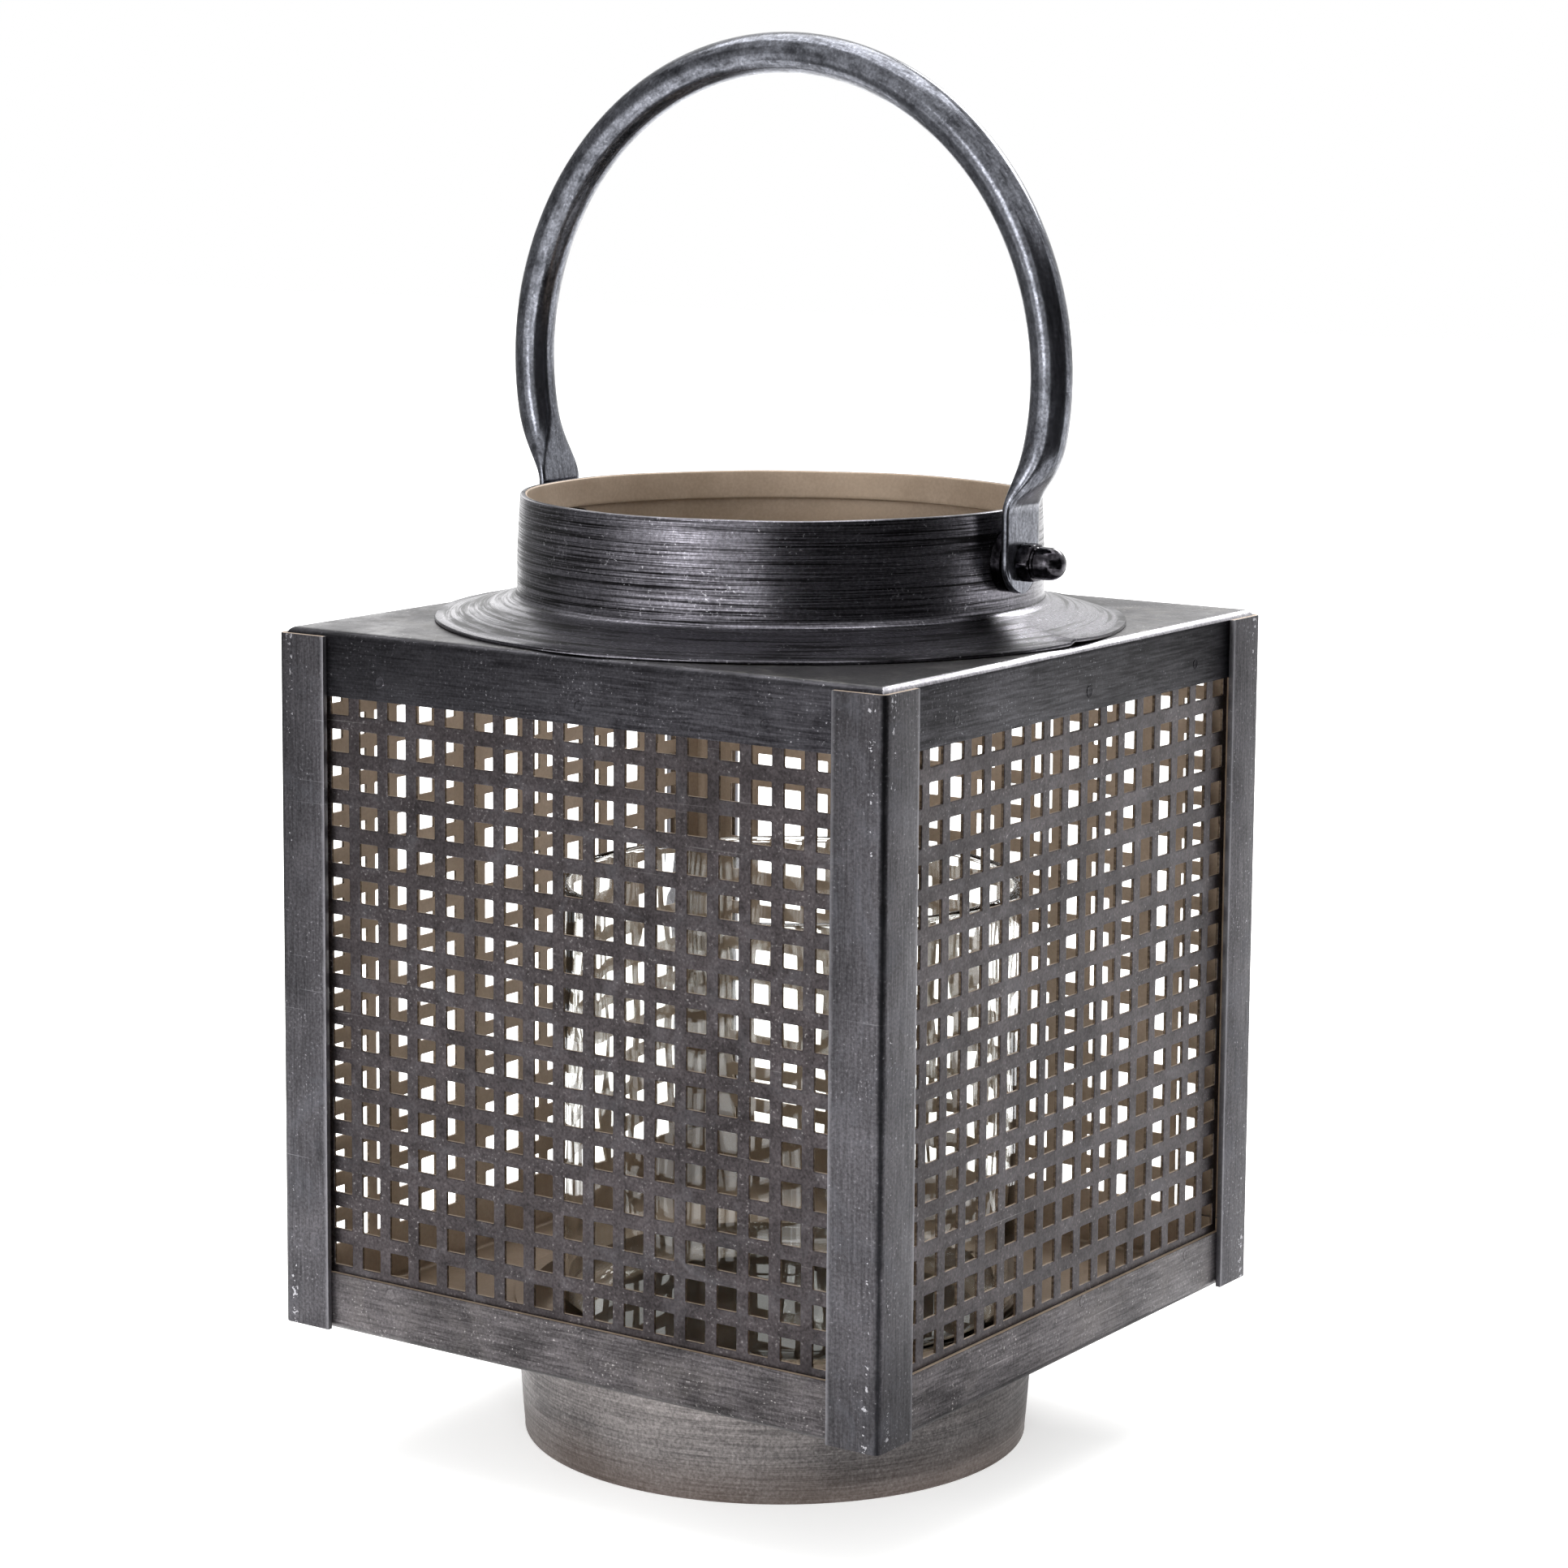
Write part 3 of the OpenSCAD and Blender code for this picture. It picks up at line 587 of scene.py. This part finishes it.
weld_tree, weld_inputs, weld_in = geometry_tree("spot_welds", (
    ("Places", "Geometry"), ("Print", "Object"), ("Smallest", "Float"),
    ("Largest", "Float"), ("Seed", "Int"), ("Finish", "Material")))
outwards = add_node(weld_tree, "GeometryNodeInputNamedAttribute", {"Name": "facing"},
                    data_type="FLOAT_VECTOR")
aimed = add_node(weld_tree, "FunctionNodeAlignRotationToVector", {"Vector": outwards}, axis="Z")
size = add_node(weld_tree, "FunctionNodeRandomValue", {
    2: weld_in["Smallest"], 3: weld_in["Largest"], "Seed": weld_in["Seed"]}, data_type="FLOAT")
print_info = add_node(weld_tree, "GeometryNodeObjectInfo", {"Object": weld_in["Print"]})
pressed = add_node(weld_tree, "GeometryNodeInstanceOnPoints", {
    "Points": weld_in["Places"], "Instance": print_info.outputs["Geometry"],
    "Rotation": aimed, "Scale": size.outputs[1]})
real_welds = add_node(weld_tree, "GeometryNodeRealizeInstances", {"Geometry": pressed})
finished = add_node(weld_tree, "GeometryNodeSetMaterial", {
    "Geometry": real_welds, "Material": weld_in["Finish"]})
add_node(weld_tree, "NodeGroupOutput", {"Geometry": finished})

for welded, finish_steel, slot in (
        ("top_skirt", top_pan_steel, "pan_steel"),
        ("bottom_skirt", bottom_pan_steel, "pan_steel"), ("post", post_steel, "post_steel")):
    welds = from_tree(welded + "_spot_welds", weld_bases[welded], weld_tree, weld_inputs, {
        "Print": electrode_print, "Smallest": 0.85, "Largest": 1.1, "Seed": 7,
        "Finish": finish_steel})
    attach(welds, "lantern")
for mould in (electrode_print, *weld_bases.values()):
    bpy.data.objects.remove(mould)

# ---------------------------------------------------------------------- neck ring
# A ring spun from 0.8 mm steel: a flange that slopes up from the top plate, a wall that
# draws in slightly, and a rim folded inwards to a hem. Outside it is rubbed on the lathe,
# so the strokes run round it; inside it is sprayed with the champagne paint.

RING_T = 0.8
WALL_R = 59.4                   # outer radius of the wall, where it leaves the flange
FLANGE_RISE = 4.6               # how far the flange climbs from its flat border to the wall
RING_STEPS = 288


def arc(cx, cz, r, start, end, steps):
    """Points on part of a circle, in millimetres and degrees."""
    angles = [math.radians(start + (end - start) * k / steps) for k in range(steps + 1)]
    return [(cx + r * math.cos(a), cz + r * math.sin(a)) for a in angles]


def spun(name, outline, up, base_z, bend=None):
    """Closed outline (r, z, painted) in millimetres, turned round the Z axis; up is -1 for a
    ring that hangs down, and bend gives small errors of shape."""
    form = bmesh.new()
    rings = []
    for s in range(RING_STEPS):
        a = math.tau * s / RING_STEPS
        ring = []
        for r, z, _ in outline:
            dr, dz = bend(a, r, z) if bend else (0.0, 0.0)
            r = (r + dr) * MM
            ring.append(form.verts.new((
                r * math.cos(a), r * math.sin(a), base_z + up * (z + dz) * MM)))
        rings.append(ring)
    for here, there in zip(rings, rings[1:] + rings[:1]):
        for k in range(len(outline)):
            n = (k + 1) % len(outline)
            f = form.faces.new((here[k], there[k], there[n], here[n]))
            f.material_index = 1 if outline[k][2] and outline[n][2] else 0
    bmesh.ops.recalc_face_normals(form, faces=form.faces)
    shade_smooth(form, 50)
    return from_form(name, form)


def ring_outline(height, rim_r, taper, hem, edge, flare=0.0):
    """Outline of a spun ring, from the edge of its flange over the rim to the inside. The
    wall draws in to rim_r over its last stretch, taper, and hem is the height of the fold;
    flare is how far the hem springs inwards at its lower edge."""
    flat = edge - 2.0
    slope = math.atan2(FLANGE_RISE, flat - WALL_R)
    throat = 2.6
    cz = RING_T + FLANGE_RISE + throat / math.tan((math.pi / 2 + slope) / 2)
    hem_r, low_z = rim_r - 2 * RING_T, height - hem
    straight = height - taper
    wall = WALL_R - (WALL_R - rim_r) * max(0, low_z - straight) / taper - RING_T
    rise = flat - 61.3
    outside = [(edge - 0.15, 0.0), (edge, 0.15), (edge, 0.55), (edge - 0.2, RING_T)]
    outside += [(flat + 0.5, RING_T), (flat, RING_T + 0.05)]
    outside += [(flat - t * rise, RING_T + t * rise * math.tan(slope))
                for t in (0.1, 0.3, 0.6, 0.9)]
    outside += arc(WALL_R + throat, cz, throat, 270 - math.degrees(slope), 180, 8)
    outside += [(WALL_R, z) for z in (cz + 0.35 * (straight - cz), straight) if z > cz + 0.4]
    outside += [(WALL_R - (WALL_R - rim_r) * t, straight + taper * t) for t in (0.25, 0.5, 0.75)]
    outside += [(rim_r - 0.02, height - 0.8)]
    outside += arc(rim_r - 0.4, height - 0.4, 0.4, 0, 90, 4)
    inside = arc(hem_r + 0.4, height - 0.4, 0.4, 90, 180, 4)
    inside += [(hem_r, height - 1.6), (hem_r - flare / 4, height - hem / 2)]
    inside += [(hem_r - 0.8 * flare, low_z + 0.9)]
    inside += arc(hem_r + 0.35 - flare, low_z + 0.35, 0.35, 180, 270, 3)
    inside += [(wall + 0.12, low_z), (wall + 0.02, low_z - 0.15)]
    inside += [(WALL_R - RING_T, straight - 0.2), (WALL_R - RING_T, cz + 1.0)]
    inside += arc(WALL_R + throat, cz, throat + RING_T, 180, 270 - math.degrees(slope), 6)
    inside += [(flat - t * rise, t * rise * math.tan(slope)) for t in (0.6, 0.3, 0.1)]
    inside += [(flat, 0.0)]
    return [(r, z, False) for r, z in outside] + [(r, z, True) for r, z in inside]


def neck_bend(a, r, z):
    """Hand work in the neck: the rim isn't quite round or level, and the flange has sprung
    up where a small split runs in from its edge."""
    dr = 0.0
    dz = 0.0
    if z > 12:
        lean = (z - 12) / 16
        dr = lean * (0.10 * math.sin(3 * a + 0.7) + 0.06 * math.sin(7 * a + 2.1))
        dz = lean * lean * (0.10 * math.sin(2 * a + 0.4) + 0.05 * math.sin(9 * a))
    if r > 68:
        edge = min(1.0, (r - 68) / 9)
        from_split = (math.degrees(a) + 2.0 + 180) % 360 - 180
        if 0 <= from_split < 16:
            dz += edge * 0.85 * (1 - from_split / 16) ** 2
        elif -5 < from_split < 0:
            dz += edge * 0.12 * (1 + from_split / 5)
        dz += edge * 0.06 * (1 + math.sin(11 * a + 1.0))
    return dr, dz


neck_steel = blackened_steel(
    "lathe_rubbed_neck_steel", "#0e0d0f", "#706e75", "#cfced3", (26, 26, 3000),
    coverage=0.49, streak=1.0, patch=0.3, contrast=1.15, rough=(0.24, 0.38), flecks=0.6,
    scratches=0.15, film=0.08, film_colour="#5c5b60")
neck_outline = ring_outline(28.1, 58.8, 13.0, 6.5, 77.9, flare=0.4)
neck = spun("neck", neck_outline, 1, Z_TOP, bend=neck_bend)
dress(neck, neck_steel, inside_paint)
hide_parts("neck_ring")
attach(neck, "lantern")

# ---------------------------------------------------------------------- foot ring
# The same kind of ring turned over and a little taller, with its rim on the floor. It is
# rubbed back further than the rest, to a warm pewter that browns towards the floor.


def foot_tint(tree, place, colour):
    """Browner towards the floor, up to a ragged line."""
    split = add_node(tree, "SeparateXYZ", {"Vector": place})
    wobble = add_node(tree, "TexNoise", {"Vector": place, "Scale": 40.0, "Detail": 4.0})
    height = add_node(tree, "Math", {
        0: wobble.outputs["Fac"], 1: 12 * MM, 2: split.outputs[2]}, operation="MULTIPLY_ADD")
    low = add_node(tree, "MapRange", {
        "Value": height, "From Min": 7 * MM, "From Max": 17 * MM, "To Min": 0.45, "To Max": 0.0})
    return add_node(tree, "Mix", {0: low, 6: colour, 7: linear("#6f5f55")},
                    data_type="RGBA").outputs[2]


foot_steel = blackened_steel(
    "pewter_foot_steel", "#535050", "#868180", "#b9b6b5", (45, 45, 2300),
    coverage=0.52, streak=0.7, patch=0.5, contrast=0.6, rough=(0.40, 0.54), flecks=0.3,
    scratches=0.15, film=0.15, film_colour="#9a9694", tint=foot_tint)
# Inside the foot the steel is bare and dull
foot_steel_inside = blackened_steel(
    "bare_inside_of_foot", "#3a3836", "#565350", "#8a8784", (40, 40, 900),
    rough=(0.45, 0.6), flecks=0.3, scratches=0.1)
foot_outline = ring_outline(29.4, 57.9, 29.4 - 8.0, 6.5, 75.4)
foot = spun("foot", foot_outline, -1, Z_BOX)
dress(foot, foot_steel, foot_steel_inside)
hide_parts("foot_ring")
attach(foot, "lantern")

# ----------------------------------------------------------------- dish and glass
# The glass stands in a shallow painted dish that hangs in the bottom plate. It is a
# cylinder of mould-blown soda glass with a thick base, and its wall is wavy, as the
# glass chilled against the mould.

nodes["glass_dish"].data.materials.clear()
dress(nodes["glass_dish"], inside_paint)

soda_glass, glass_tree, glass_shader = new_material("mould_blown_soda_glass")
glass_place = add_node(glass_tree, "TexCoord", {}).outputs["Object"]
# Chill ripples of the wall above the base: upright waves some 20 mm apart, and swells
ripple_place = add_node(glass_tree, "Mapping", {"Vector": glass_place, "Scale": (38, 38, 15)})
ripples = add_node(glass_tree, "TexNoise", {
    "Vector": ripple_place, "Scale": 1.0, "Detail": 1.0, "Roughness": 0.4, "Distortion": 0.6})
glass_split = add_node(glass_tree, "SeparateXYZ", {"Vector": glass_place})
above_base = add_node(glass_tree, "MapRange", {
    "Value": glass_split.outputs[2], "From Min": 30 * MM, "From Max": 50 * MM})
wall_ripples = add_node(glass_tree, "Math", {0: ripples.outputs["Fac"], 1: above_base},
                        operation="MULTIPLY")
glass_bump = add_node(glass_tree, "Bump", {
    "Strength": 1.0, "Distance": 1.3 * MM, "Height": wall_ripples})
feed(glass_tree, glass_shader, {
    "Transmission Weight": 1.0, "IOR": 1.5, "Roughness": 0.0, "Base Color": linear("#fcfdfb"),
    "Normal": glass_bump})
nodes["glass_cylinder"].data.materials.clear()
dress(nodes["glass_cylinder"], soda_glass)

# ------------------------------------------------------------------------- handle
# A bow of 9.2 mm steel tube, blackened and rubbed along its length. Both ends are pressed
# flat over a short length, so they widen to a rounded tab with a crease above it, and are
# drilled for the pivot screws.

Z_PIVOT = 205.0
BOW_R, BOW_RISE, TAIL = 70.0, 39.3, 10.0
TUBE = 4.6
FLAT_X, FLAT_Z = 62.8, 10.6
FLAT_HALF_T, FLAT_HALF_W = 1.05, 6.9
HANDLE_SIDES = 40
BOW_STEPS, PRESSED_STEPS, TAB_STEPS, TIP_STEPS = 40, 20, 4, 12


def mix(a, b, t):
    """The value that lies at share t of the way from a to b."""
    return a + (b - a) * t


def capped(name, form, rings, degrees):
    """The form with a skin over the rings and a cap on both ends, as an object that is
    shaded smooth below an angle."""
    skin(form, rings)
    for ring in (rings[0], rings[-1]):
        form.faces.new(ring)
    bmesh.ops.recalc_face_normals(form, faces=form.faces)
    shade_smooth(form, degrees)
    return from_form(name, form)


def handle_stations():
    """Middle (x, z), direction of travel, half thickness, half width and squareness of each
    section, from the top of the bow down to the tip of the right-hand tab."""
    stations = []
    for k in range(BOW_STEPS + 1):
        a = math.radians(90 - (90 + TAIL) * k / BOW_STEPS)
        stations.append(((BOW_R * math.cos(a), BOW_RISE + BOW_R * math.sin(a)),
                         (math.sin(a), -math.cos(a)), TUBE, TUBE, 0.0))
    tail = math.radians(TAIL)
    start = Vector((BOW_R * math.cos(tail), BOW_RISE - BOW_R * math.sin(tail)))
    end = Vector((FLAT_X, FLAT_Z))
    pull = (start - end).length / 2
    p1 = start - pull * Vector((math.sin(tail), math.cos(tail)))
    p2 = end + Vector((0, pull / 2))
    for k in range(1, PRESSED_STEPS + 1):
        t = k / PRESSED_STEPS
        u = 1 - t
        p = u ** 3 * start + 3 * u * u * t * p1 + 3 * u * t * t * p2 + t ** 3 * end
        d = 3 * u * u * (p1 - start) + 6 * u * t * (p2 - p1) + 3 * t * t * (end - p2)
        d.normalize()
        f = min(1.0, t / 0.92)
        f = f * f * (3 - 2 * f)
        stations.append(((p.x, p.y), (d.x, d.y), mix(TUBE, FLAT_HALF_T, f),
                         mix(TUBE, FLAT_HALF_W, f), f))
    for k in range(1, TAB_STEPS + 1):
        stations.append(((FLAT_X, FLAT_Z * (1 - k / TAB_STEPS)), (0, -1), FLAT_HALF_T,
                         FLAT_HALF_W, 1.0))
    for k in range(1, TIP_STEPS + 1):
        a = math.radians(88 * k / TIP_STEPS)
        thinner = 0.8 if k == TIP_STEPS else 1
        stations.append(((FLAT_X, -FLAT_HALF_W * math.sin(a)), (0, -1), FLAT_HALF_T * thinner,
                         FLAT_HALF_W * math.cos(a), 1.0))
    return stations


right_half = handle_stations()
left_half = [((-x, z), (dx, -dz), half_t, half_w, square)
             for (x, z), (dx, dz), half_t, half_w, square in right_half[:0:-1]]
handle_form = bmesh.new()
handle_rings = []
for (x, z), (dx, dz), half_t, half_w, square in left_half + right_half:
    out = (-dz, dx)             # outwards from the bow's centre, in the plane of the bow
    power = mix(1.0, 0.42, square)      # below 1 the section fills out to a rounded oblong
    ring = []
    for k in range(HANDLE_SIDES):
        a = math.tau * k / HANDLE_SIDES
        ct = math.copysign(abs(math.cos(a)) ** power, math.cos(a)) * half_t
        cw = math.copysign(abs(math.sin(a)) ** power, math.sin(a)) * half_w
        ring.append(handle_form.verts.new((
            (x + out[0] * ct) * MM, cw * MM, (Z_PIVOT + z + out[1] * ct) * MM)))
    handle_rings.append(ring)
bow = capped("bow_handle", handle_form, handle_rings, 40)

# The drill goes through both tabs
DRILL_R = 2.55 * MM
drill_form = bmesh.new()
across = Matrix.Translation((0, 0, Z_PIVOT * MM)) @ Matrix.Rotation(math.pi / 2, 4, "Y")
bmesh.ops.create_cone(drill_form, cap_ends=True, segments=48, radius1=DRILL_R,
                      radius2=DRILL_R, depth=150 * MM, matrix=across)
drill = from_form("drill", drill_form)
boring = bow.modifiers.new("drilled", "BOOLEAN")
boring.operation = "DIFFERENCE"
boring.solver = "EXACT"
boring.object = drill
graph = bpy.context.evaluated_depsgraph_get()
bored = bpy.data.meshes.new_from_object(bow.evaluated_get(graph))
bow.modifiers.remove(boring)
bow.data = bored
bpy.data.objects.remove(drill)

# Fine lines run along the tube, and it has the softest gloss of all the steel
handle_steel = blackened_steel(
    "blackened_handle_tube", "#1a1b1f", "#7c7e86", "#c4c6cf", (220, 1400, 220),
    coverage=0.53, streak=0.4, patch=0.25, contrast=0.9, rough=(0.15, 0.26), flecks=0.25,
    scratches=0.2, film=0.12)
bow.data.materials.clear()
dress(bow, handle_steel)
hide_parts("handle")
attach(bow, "handle")

# ------------------------------------------------------ pivot screws, spacers, nuts
# On each side an M5 screw goes out through the neck, a round spacer and the tab of the
# handle into a domed cap nut. All of it is polished black nickel, which is nearly a
# mirror and picks up small rub marks on its edges.

black_nickel, nickel_tree, nickel_shader = new_material("polished_black_nickel", metallic=1.0)
nickel_place = add_node(nickel_tree, "TexCoord", {}).outputs["Object"]
rubs = add_node(nickel_tree, "TexNoise", {
    "Vector": nickel_place, "Scale": 700.0, "Detail": 4.0, "Roughness": 0.6})
rubbed = add_node(nickel_tree, "MapRange", {
    "Value": rubs.outputs["Fac"], "From Min": 0.42, "From Max": 0.72})
nickel_colour = add_node(nickel_tree, "Mix", {
    0: rubbed, 6: linear("#2a282c"), 7: linear("#59575c")}, data_type="RGBA")
nickel_gloss = add_node(nickel_tree, "MapRange", {
    "Value": rubs.outputs["Fac"], "From Min": 0.35, "From Max": 0.7, "To Min": 0.10,
    "To Max": 0.28})
feed(nickel_tree, nickel_shader, {
    "Base Color": nickel_colour.outputs[2], "Roughness": nickel_gloss})

NUT_X = 63.95
NUT_AF = 8.0
NUT_SIDES = 72
DOME_R, DOME_Z = 3.6, 6.4


def nut_radius(a, limit):
    """Radius of a hexagon with slightly rounded corners, cut off by a cone."""
    corner = (math.degrees(a) + 30) % 60 - 30
    return min(NUT_AF / 2 / math.cos(math.radians(corner)), limit)


for side, sign in (("left", -1), ("right", 1)):
    nut_form = bmesh.new()
    # Distance from the tab, radius, and whether the section is hexagonal
    sections = [(0.0, 3.9, True), (0.12, 4.2, True), (0.4, 4.53, True), (2.7, 4.53, True),
                (2.95, 4.35, True), (3.2, 4.0, True), (3.25, 3.45, False), (3.55, 3.3, False),
                (3.9, 3.35, False), (4.15, DOME_R, False), (5.4, DOME_R, False)]
    sections += [(DOME_Z + DOME_R * math.sin(b), DOME_R * math.cos(b), False)
                 for b in map(math.radians, (0, 12, 24, 36, 48, 60, 71, 80, 86, 89.5))]
    nut_rings = []
    for out, r, hexagonal in sections:
        ring = []
        for k in range(NUT_SIDES):
            a = math.tau * k / NUT_SIDES
            rr = nut_radius(a, r) if hexagonal else r
            ring.append(nut_form.verts.new((
                sign * (NUT_X + out) * MM, rr * math.cos(a + math.pi / 6) * MM,
                (Z_PIVOT + rr * math.sin(a + math.pi / 6)) * MM)))
        nut_rings.append(ring)
    nut = capped("domed_nut_" + side, nut_form, nut_rings, 28)
    dress(nut, black_nickel)
    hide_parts("cap_nut_" + side)
    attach(nut, "lantern")
    for node in ("pivot_screw_" + side, "spacer_" + side):
        nodes[node].data.materials.clear()
        dress(nodes[node], black_nickel)

# ---------------------------------------------------------------- floor and light
# A pale floor in a plain white studio: a broad soft lamp overhead, one on the left in
# front, two behind and a fill beside the camera. A black flag on the right in front, a
# grey card on the left, and a shade and a pale card flat on the floor on the right are
# seen by the metal only. They give the round pieces their dark and light sides.

# The floor is painted matt white: it takes the shadow and gives nothing back as a mirror
floor_mesh = bpy.data.meshes.new("floor")
floor_mesh.from_pydata([(-4, -4, 0), (4, -4, 0), (4, 4, 0), (-4, 4, 0)], [], [(0, 1, 2, 3)])
floor = as_object("floor", floor_mesh)
floor_paint, floor_tree, unused_shader = new_material("matt_white_floor")
floor_tree.nodes.remove(unused_shader)
matt = add_node(floor_tree, "BsdfDiffuse", {"Color": linear("#f4f4f3")})


def seen_rays(tree):
    """1 for rays from the camera, off a gloss or through glass, and 0 for all others."""
    rays = add_node(tree, "LightPath", {}).outputs
    direct = add_node(tree, "Math", {
        0: rays["Is Camera Ray"], 1: rays["Is Glossy Ray"]}, operation="MAXIMUM")
    return add_node(tree, "Math", {0: direct, 1: rays["Is Transmission Ray"]},
                    operation="MAXIMUM")


# White further out, and just short of it near the lantern, where the shadow falls
from_middle = add_node(floor_tree, "VectorMath", {
    0: add_node(floor_tree, "TexCoord", {}).outputs["Object"]}, operation="LENGTH")
whiter = add_node(floor_tree, "MapRange", {
    "Value": from_middle.outputs["Value"], "From Min": 0.07, "From Max": 0.30,
    "To Min": 0.47, "To Max": 1.0}, interpolation_type="SMOOTHSTEP")
lift_white = add_node(floor_tree, "Math", {
    0: seen_rays(floor_tree), 1: whiter}, operation="MULTIPLY")
glow = add_node(floor_tree, "Emission", {"Strength": lift_white})
floor_sum = add_node(floor_tree, "AddShader", {0: matt, 1: glow})
feed(floor_tree, floor_tree.nodes["Material Output"], {"Surface": floor_sum})
dress(floor, floor_paint)


def soft_lamp(name, place, aim, size, power):
    """White oblong area lamp that looks at a point."""
    data = bpy.data.lights.new(name, "AREA")
    data.shape = "RECTANGLE"
    data.size, data.size_y = size
    data.energy = power
    lamp = bpy.data.objects.new(name, data)
    lamp.location = place
    lamp.rotation_euler = (Vector(aim) - Vector(place)).to_track_quat("-Z", "Y").to_euler()
    lamp.visible_camera = False
    collection.objects.link(lamp)
    return lamp


soft_lamp("lamp_overhead", (-0.25, 0.15, 1.25), (0, 0, 0.1), (1.1, 1.1), 14)
soft_lamp("lamp_front_left", (-0.15, -1.3, 0.45), (0, 0, 0.15), (0.35, 0.6), 3.5)
soft_lamp("lamp_back", (-1.05, 0.85, 0.42), (0, 0, 0.18), (0.4, 0.3), 0.4)
soft_lamp("lamp_back_right", (0.03, 1.05, 0.86), (0, 0, 0.18), (0.7, 0.35), 9)
fill = soft_lamp("lamp_fill", (0.75, -1.1, 0.16), (0, 0, 0.12), (1.0, 0.28), 18)
fill.visible_glossy = False      # it reaches the paint inside without a glare on the steel

# Each card is a strip of matt cloth bent round the lantern: where it starts and ends in
# degrees, its profile as radius and height in metres, and how brightly it shines
CARD_STEP = 4
standing = ((0.45, 0.003), (1.3, 0.003), (1.4, 0.08), (1.4, 1.1))
for name, start, end, profile, level in (
        ("black_flag", -64, 28, standing, 0.0), ("grey_card_left", -208, -128, standing, 0.33),
        ("shade_beside_foot", -44, 88, ((0.060, 0.003), (0.13, 0.003)), 0.50),
        ("grey_card_right", -36, 88, ((0.13, 0.003), (0.45, 0.003)), 1.75)):
    flag_form = bmesh.new()
    skin(flag_form, [[flag_form.verts.new((r * math.cos(a), r * math.sin(a), z))
                      for a in map(math.radians, range(start, end + 1, CARD_STEP))]
                     for r, z in profile], closed=False)
    flag = from_form(name, flag_form)
    cloth, cloth_tree, weave = new_material(name + "_cloth")
    feed(cloth_tree, weave, {"Base Color": linear("#1c1c1e"), "Roughness": 1.0,
                             "Emission Color": (1, 1, 1, 1), "Emission Strength": level})
    dress(flag, cloth)
    for kind in ("visible_camera", "visible_diffuse", "visible_transmission", "visible_shadow"):
        setattr(flag, kind, False)

world = bpy.data.worlds.new("white_studio")
bpy.context.scene.world = world
world.use_nodes = True
sky = world.node_tree
# The room lights things at 0.7, and is white where it is seen
sky_level = add_node(sky, "Math", {0: seen_rays(sky), 1: 0.3, 2: 0.7}, operation="MULTIPLY_ADD")
feed(sky, sky.nodes["Background"], {"Color": (1, 1, 1, 1), "Strength": sky_level})

# ------------------------------------------------------------------------- camera
# A long lens just above the rim of the neck, looking at the near corner of the box.

camera_data = bpy.data.cameras.new("camera")
for key, value in (("sensor_width", 36), ("lens", 93.28), ("shift_x", 0.0290),
                   ("shift_y", -0.0867), ("clip_start", 0.05), ("clip_end", 30)):
    setattr(camera_data, key, value)
camera = bpy.data.objects.new("camera", camera_data)
azimuth, elevation, roll = (math.radians(v) for v in (34.85, 7.77, 0.31))
backwards = Vector((math.sin(azimuth) * math.cos(elevation),
                    -math.cos(azimuth) * math.cos(elevation), math.sin(elevation)))
level = (-backwards).cross(Vector((0, 0, 1))).normalized()
upwards = level.cross(-backwards)
right = level * math.cos(roll) + upwards * math.sin(roll)
above = upwards * math.cos(roll) - level * math.sin(roll)
stand = Matrix((right, above, backwards)).transposed().to_4x4()
stand.translation = (0.51302, -0.75319, 0.30520)
camera.matrix_world = stand
collection.objects.link(camera)
bpy.context.scene.camera = camera
bpy.context.scene.view_settings.view_transform = "Standard"
